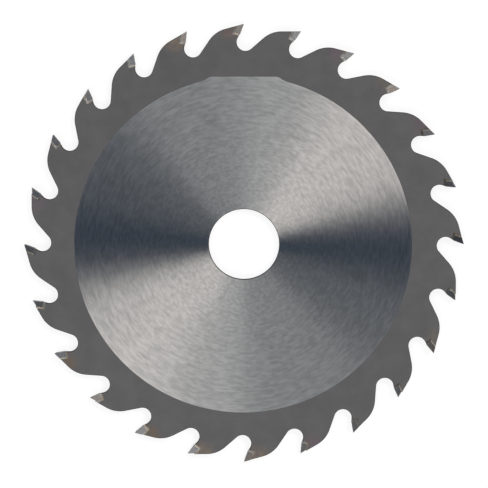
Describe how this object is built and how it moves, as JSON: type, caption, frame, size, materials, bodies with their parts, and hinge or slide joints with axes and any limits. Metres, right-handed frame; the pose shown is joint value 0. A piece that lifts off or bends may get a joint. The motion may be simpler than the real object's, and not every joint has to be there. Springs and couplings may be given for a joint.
{
  "type": "carbide-tipped carving disc",
  "caption": "Flat round steel disc with a central bore and hooked, carbide-tipped teeth around its rim, for carving and cutting wood on a small angle grinder.",
  "frame": {"origin": "on the disc's axis, in the plane that the carbide tips rest on when the disc lies flat", "axes": "+Z along the disc's axis, out of the face from which the teeth point clockwise; +Y from the axis to the first tooth's cutting edge"},
  "size_m": [0.1, 0.1, 0.0018],
  "materials": {
    "plate_steel": "ground centre with fine concentric scratches, matt blasted outer ring",
    "tungsten_carbide": "ground, dark grey",
    "silver_braze": "pale satin solder"
  },
  "bodies": {
    "root": {"steel_plate": "plate_steel", "carbide_tip_01": "tungsten_carbide", "carbide_tip_02": "tungsten_carbide", "carbide_tip_03": "tungsten_carbide", "carbide_tip_04": "tungsten_carbide", "carbide_tip_05": "tungsten_carbide", "carbide_tip_06": "tungsten_carbide", "carbide_tip_07": "tungsten_carbide", "carbide_tip_08": "tungsten_carbide", "carbide_tip_09": "tungsten_carbide", "carbide_tip_10": "tungsten_carbide", "carbide_tip_11": "tungsten_carbide", "carbide_tip_12": "tungsten_carbide", "carbide_tip_13": "tungsten_carbide", "carbide_tip_14": "tungsten_carbide", "carbide_tip_15": "tungsten_carbide", "carbide_tip_16": "tungsten_carbide", "carbide_tip_17": "tungsten_carbide", "carbide_tip_18": "tungsten_carbide", "carbide_tip_19": "tungsten_carbide", "carbide_tip_20": "tungsten_carbide", "carbide_tip_21": "tungsten_carbide", "carbide_tip_22": "tungsten_carbide", "carbide_tip_23": "tungsten_carbide", "carbide_tip_24": "tungsten_carbide", "braze_layer_01": "silver_braze", "braze_layer_02": "silver_braze", "braze_layer_03": "silver_braze", "braze_layer_04": "silver_braze", "braze_layer_05": "silver_braze", "braze_layer_06": "silver_braze", "braze_layer_07": "silver_braze", "braze_layer_08": "silver_braze", "braze_layer_09": "silver_braze", "braze_layer_10": "silver_braze", "braze_layer_11": "silver_braze", "braze_layer_12": "silver_braze", "braze_layer_13": "silver_braze", "braze_layer_14": "silver_braze", "braze_layer_15": "silver_braze", "braze_layer_16": "silver_braze", "braze_layer_17": "silver_braze", "braze_layer_18": "silver_braze", "braze_layer_19": "silver_braze", "braze_layer_20": "silver_braze", "braze_layer_21": "silver_braze", "braze_layer_22": "silver_braze", "braze_layer_23": "silver_braze", "braze_layer_24": "silver_braze"}
  },
  "joints": []
}
